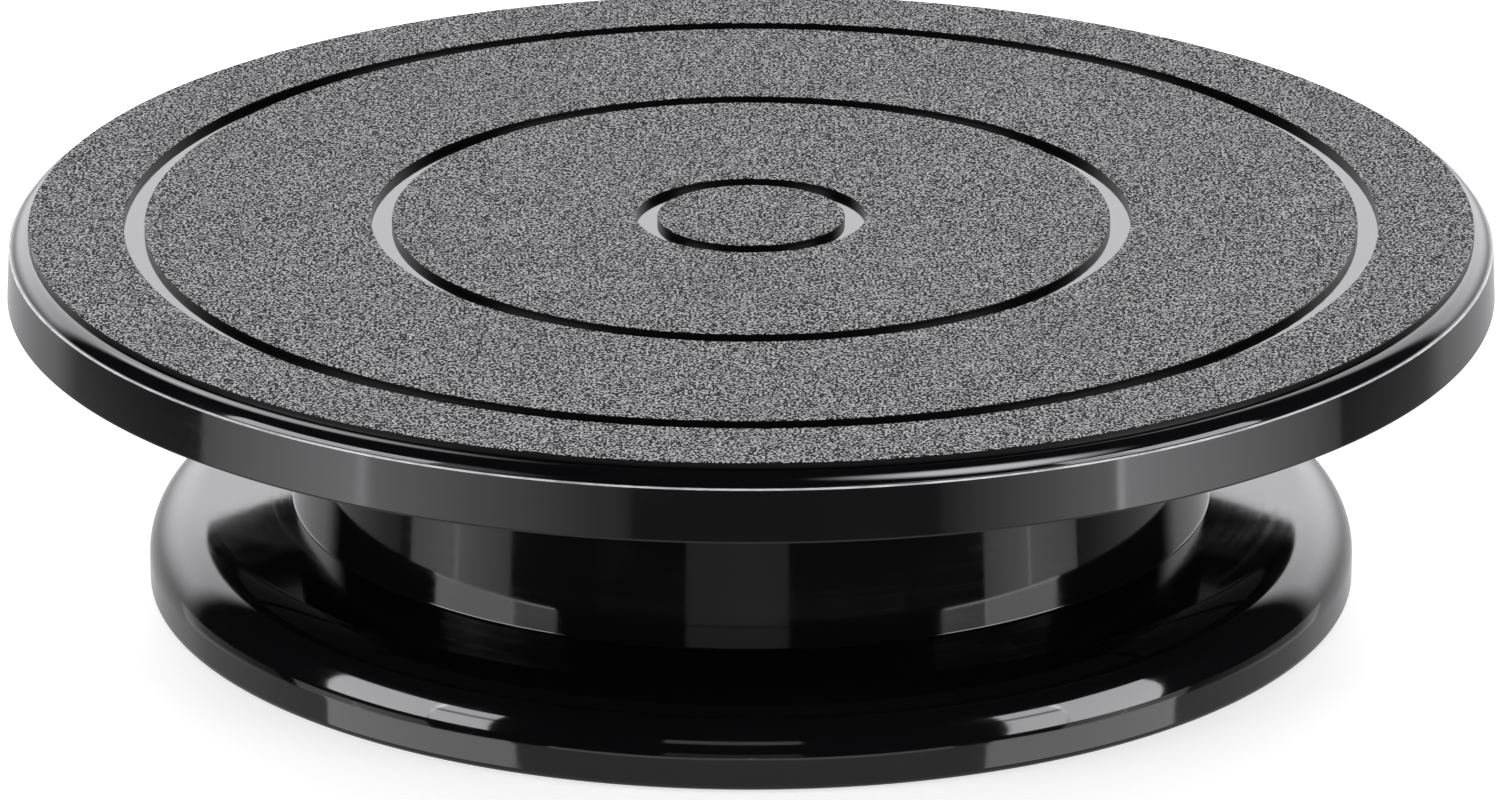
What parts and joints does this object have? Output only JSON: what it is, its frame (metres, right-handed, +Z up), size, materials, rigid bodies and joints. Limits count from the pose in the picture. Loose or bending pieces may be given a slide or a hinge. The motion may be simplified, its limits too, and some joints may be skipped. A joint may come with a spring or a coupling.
{
  "type": "sculpting turntable",
  "caption": "Round revolving sculpting turntable: a thick grooved platter with gritty anti-slip pads, spinning on ball races above a wide flared drum pedestal.",
  "frame": {"origin": "centre of the plane the rubber feet rest on, on the spin axis", "axes": "+Z up along the spin axis; one base rib and one rubber foot lie on +X"},
  "size_m": [0.28, 0.28, 0.072],
  "materials": {
    "black_gloss_plastic": "gloss",
    "textured_pad": "matte",
    "race_steel": "satin",
    "turned_steel": "satin",
    "plated_steel": "satin",
    "spring_steel": "satin",
    "polished_steel": "polished",
    "white_nylon": "satin",
    "natural_acetal": "satin",
    "black_satin_plastic": "satin",
    "foot_rubber": "matte"
  },
  "bodies": {
    "base": {"base_shell": "black_gloss_plastic", "lower_race": "race_steel", "spindle_bush": "natural_acetal", "thrust_washer": "natural_acetal", "hub_cover": "black_satin_plastic", "rubber_foot_1": "foot_rubber", "rubber_foot_2": "foot_rubber", "rubber_foot_3": "foot_rubber", "rubber_foot_4": "foot_rubber", "rubber_foot_5": "foot_rubber", "rubber_foot_6": "foot_rubber"},
    "turning_platter": {"platter": "black_gloss_plastic", "centre_pad": "textured_pad", "inner_ring_pad": "textured_pad", "middle_ring_pad": "textured_pad", "outer_ring_pad": "textured_pad", "upper_race": "race_steel", "spindle": "turned_steel", "spindle_screws": "plated_steel", "disc_spring": "spring_steel", "steel_washer": "plated_steel", "lock_nut": "plated_steel"},
    "rolling_race": {"ball_cage": "white_nylon", "race_balls": "polished_steel"}
  },
  "joints": [
    {"name": "platter_spin", "type": "hinge", "parent": "base", "child": "turning_platter", "pos_m": [0, 0, 0.0605], "axis": [0, 0, 1], "continuous": true},
    {"name": "ball_cage_spin", "type": "hinge", "parent": "base", "child": "rolling_race", "pos_m": [0, 0, 0.06325], "axis": [0, 0, 1], "continuous": true}
  ],
  "couplings": [
    {"joint": "ball_cage_spin", "follows": "platter_spin", "ratio": 0.5}
  ]
}
